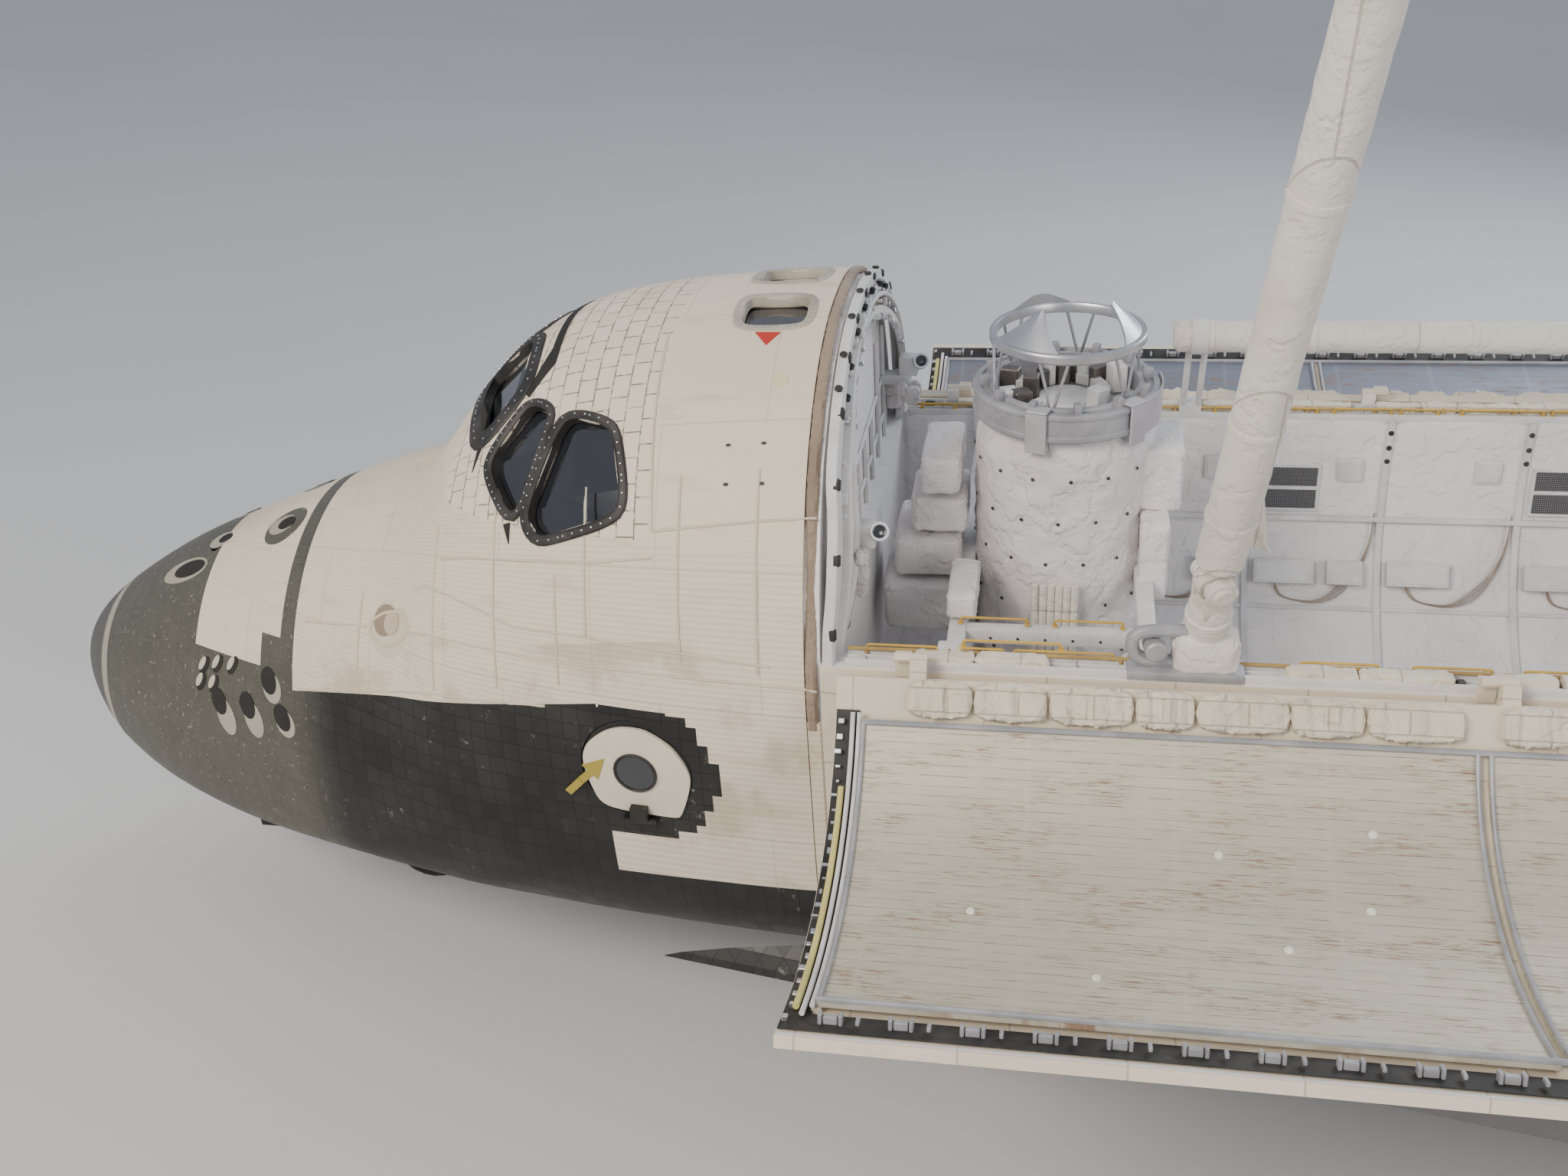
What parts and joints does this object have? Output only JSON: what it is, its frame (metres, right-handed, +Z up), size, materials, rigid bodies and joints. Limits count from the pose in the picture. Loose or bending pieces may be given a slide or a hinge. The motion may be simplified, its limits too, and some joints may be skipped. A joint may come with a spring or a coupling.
{
  "type": "space shuttle orbiter",
  "caption": "Winged space shuttle orbiter parked on its landing gear, payload bay doors open, manipulator arm raised and docking ring in the bay.",
  "frame": {"origin": "on the ground under the middle of the bounding box", "axes": "+X towards the tail, +Y to starboard, +Z up; the body stands 4.25 degrees nose down, as it parks"},
  "size_m": [36.2254, 23.7744, 20.8531],
  "materials": {
    "carbon": "matte dark grey carbon with a lighter worn rim",
    "white_tile": "matte coated silica tiles, off-white",
    "black_tile": "satin black tiles with scuffs",
    "hull_skin": "quilted cream blankets and tiles over an aluminium shell",
    "aft_skin": "quilted cream blankets and white tiles",
    "pod_blanket": "quilted cream blankets",
    "door_skin": "cream felt outside, light grey panels inside",
    "radiator": "silver film with brown stains",
    "bay_liner": "white quilted cloth",
    "arm_wrap": "white cloth blankets over tubes",
    "grey_metal": "satin grey metal",
    "dark_metal": "satin dark metal",
    "gear_metal": "white paint on steel",
    "glass": "dark clear glass",
    "tyre": "matte black rubber",
    "cabin": "matte grey-beige cabin fittings"
  },
  "bodies": {
    "airframe": {"nose_cap": "carbon", "forward_rcs_module": "white_tile", "nose_underside": "hull_skin", "lower_forward_fuselage": "hull_skin", "upper_forward_fuselage": "hull_skin", "windshield_glass": "glass", "overhead_glass": "glass", "forward_bulkhead": "hull_skin", "aft_glass": "glass", "flight_deck": "cabin", "mid_fuselage": "hull_skin", "starboard_wing": "white_tile", "port_wing": "white_tile", "top_main_engine": "grey_metal", "port_main_engine": "grey_metal", "starboard_main_engine": "grey_metal", "vertical_tail": "white_tile", "starboard_engine_pod": "pod_blanket", "port_engine_pod": "pod_blanket", "starboard_pod_nozzle": "dark_metal", "port_pod_nozzle": "dark_metal", "aft_fuselage": "aft_skin", "nose_gear_leg": "gear_metal", "starboard_main_gear_leg": "gear_metal", "port_main_gear_leg": "gear_metal", "starboard_nose_gear_door": "black_tile", "port_nose_gear_door": "black_tile", "starboard_main_gear_door": "black_tile", "port_main_gear_door": "black_tile", "docking_module": "bay_liner", "docking_ring": "grey_metal", "inspection_boom": "arm_wrap", "arm_stand": "arm_wrap"},
    "crew_hatch": {"crew_hatch": "white_tile"},
    "port_bay_door": {"port_bay_door": "door_skin", "port_radiators": "radiator"},
    "starboard_bay_door": {"starboard_bay_door": "door_skin", "starboard_radiators": "radiator"},
    "port_inboard_elevon": {"port_inboard_elevon": "black_tile"},
    "port_outboard_elevon": {"port_outboard_elevon": "black_tile"},
    "starboard_inboard_elevon": {"starboard_inboard_elevon": "black_tile"},
    "starboard_outboard_elevon": {"starboard_outboard_elevon": "black_tile"},
    "body_flap": {"body_flap": "black_tile"},
    "rudder_shaft": {"rudder_shaft": "dark_metal"},
    "port_rudder_panel": {"port_rudder_panel": "white_tile"},
    "starboard_rudder_panel": {"starboard_rudder_panel": "white_tile"},
    "nose_gear_piston": {"nose_gear_piston": "grey_metal"},
    "nose_wheels": {"nose_wheels": "tyre"},
    "port_main_wheels": {"port_main_wheels": "tyre"},
    "starboard_main_wheels": {"starboard_main_wheels": "tyre"},
    "arm_shoulder": {"arm_shoulder": "arm_wrap"},
    "arm_upper_boom": {"arm_upper_boom": "arm_wrap"},
    "arm_forearm": {"arm_forearm": "arm_wrap"},
    "arm_wrist_pitch": {"arm_wrist_pitch": "arm_wrap"},
    "arm_wrist_yaw": {"arm_wrist_yaw": "arm_wrap"},
    "arm_end_effector": {"arm_end_effector": "grey_metal"}
  },
  "joints": [
    {"name": "crew_hatch_hinge", "type": "hinge", "parent": "airframe", "child": "crew_hatch", "pos_m": [-11.22415, -2.66192, 3.21118], "axis": [0.9973, 0, 0.0741], "range_deg": [0, 90]},
    {"name": "port_bay_door_hinge", "type": "hinge", "parent": "airframe", "child": "port_bay_door", "pos_m": [-0.49323, -2.68224, 5.84502], "axis": [0.9973, 0, 0.0741], "range_deg": [-85, 18.5]},
    {"name": "starboard_bay_door_hinge", "type": "hinge", "parent": "airframe", "child": "starboard_bay_door", "pos_m": [-0.49323, 2.68224, 5.84502], "axis": [-0.9973, 0, -0.0741], "range_deg": [-157, 18.5]},
    {"name": "port_inboard_elevon_hinge", "type": "hinge", "parent": "airframe", "child": "port_inboard_elevon", "pos_m": [11.0623, -5.41528, 3.55171], "axis": [0.001, 0.9999, -0.0137], "range_deg": [-35, 20]},
    {"name": "port_outboard_elevon_hinge", "type": "hinge", "parent": "airframe", "child": "port_outboard_elevon", "pos_m": [11.05638, -9.4996, 3.63134], "axis": [0.0021, 0.9996, -0.0282], "range_deg": [-35, 20]},
    {"name": "starboard_inboard_elevon_hinge", "type": "hinge", "parent": "airframe", "child": "starboard_inboard_elevon", "pos_m": [11.0623, 5.41528, 3.55171], "axis": [-0.001, 0.9999, 0.0137], "range_deg": [-35, 20]},
    {"name": "starboard_outboard_elevon_hinge", "type": "hinge", "parent": "airframe", "child": "starboard_outboard_elevon", "pos_m": [11.05638, 9.4996, 3.63134], "axis": [-0.0021, 0.9996, 0.0282], "range_deg": [-35, 20]},
    {"name": "body_flap_hinge", "type": "hinge", "parent": "airframe", "child": "body_flap", "pos_m": [14.95427, 0, 3.61819], "axis": [0, 1, 0], "range_deg": [-11.7, 22.5]},
    {"name": "rudder_hinge", "type": "hinge", "parent": "airframe", "child": "rudder_shaft", "pos_m": [14.86066, 0, 13.51542], "axis": [-0.4721, 0, -0.8816], "range_deg": [-27.1, 27.1]},
    {"name": "port_speedbrake_hinge", "type": "hinge", "parent": "rudder_shaft", "child": "port_rudder_panel", "pos_m": [14.86066, 0, 13.51542], "axis": [0.4721, 0, 0.8816], "range_deg": [-49.3, 0]},
    {"name": "starboard_speedbrake_hinge", "type": "hinge", "parent": "rudder_shaft", "child": "starboard_rudder_panel", "pos_m": [14.86066, 0, 13.51542], "axis": [0.4721, 0, 0.8816], "range_deg": [0, 49.3]},
    {"name": "nose_wheel_steering", "type": "hinge", "parent": "airframe", "child": "nose_gear_piston", "pos_m": [-14.43936, 0, 0.89257], "axis": [-0.0741, 0, 0.9973], "range_deg": [-10, 10]},
    {"name": "nose_wheels_spin", "type": "hinge", "parent": "nose_gear_piston", "child": "nose_wheels", "pos_m": [-14.40172, 0, 0.38596], "axis": [0, 1, 0], "continuous": true},
    {"name": "port_main_wheels_spin", "type": "hinge", "parent": "airframe", "child": "port_main_wheels", "pos_m": [5.80885, -3.4544, 0.55614], "axis": [0, 1, 0], "continuous": true},
    {"name": "starboard_main_wheels_spin", "type": "hinge", "parent": "airframe", "child": "starboard_main_wheels", "pos_m": [5.80885, 3.4544, 0.55614], "axis": [0, 1, 0], "continuous": true},
    {"name": "arm_shoulder_yaw", "type": "hinge", "parent": "airframe", "child": "arm_shoulder", "pos_m": [-6.79638, -2.48255, 5.73294], "axis": [-0.07, -0.3289, 0.9418], "range_deg": [-200, 160]},
    {"name": "arm_shoulder_pitch", "type": "hinge", "parent": "arm_shoulder", "child": "arm_upper_boom", "pos_m": [-6.82482, -2.6162, 6.11568], "axis": [-0.364, 0.8874, 0.2828], "range_deg": [-59.5, 87.5]},
    {"name": "arm_elbow_pitch", "type": "hinge", "parent": "arm_upper_boom", "child": "arm_forearm", "pos_m": [-7.0179, -4.63202, 12.192], "axis": [0.364, -0.8874, -0.2828], "range_deg": [-22, 140]},
    {"name": "arm_wrist_pitch", "type": "hinge", "parent": "arm_forearm", "child": "arm_wrist_pitch", "pos_m": [-9.04641, -7.42819, 18.35474], "axis": [0.364, -0.8874, -0.2828], "range_deg": [-60, 180]},
    {"name": "arm_wrist_yaw", "type": "hinge", "parent": "arm_wrist_pitch", "child": "arm_wrist_yaw", "pos_m": [-8.31359, -7.43816, 19.32907], "axis": [-0.7115, -0.4609, 0.5304], "range_deg": [-120, 120]},
    {"name": "arm_wrist_roll", "type": "hinge", "parent": "arm_wrist_yaw", "child": "arm_end_effector", "pos_m": [-7.62657, -7.4475, 20.24251], "axis": [0.6011, -0.0082, 0.7992], "range_deg": [-447, 447]}
  ]
}
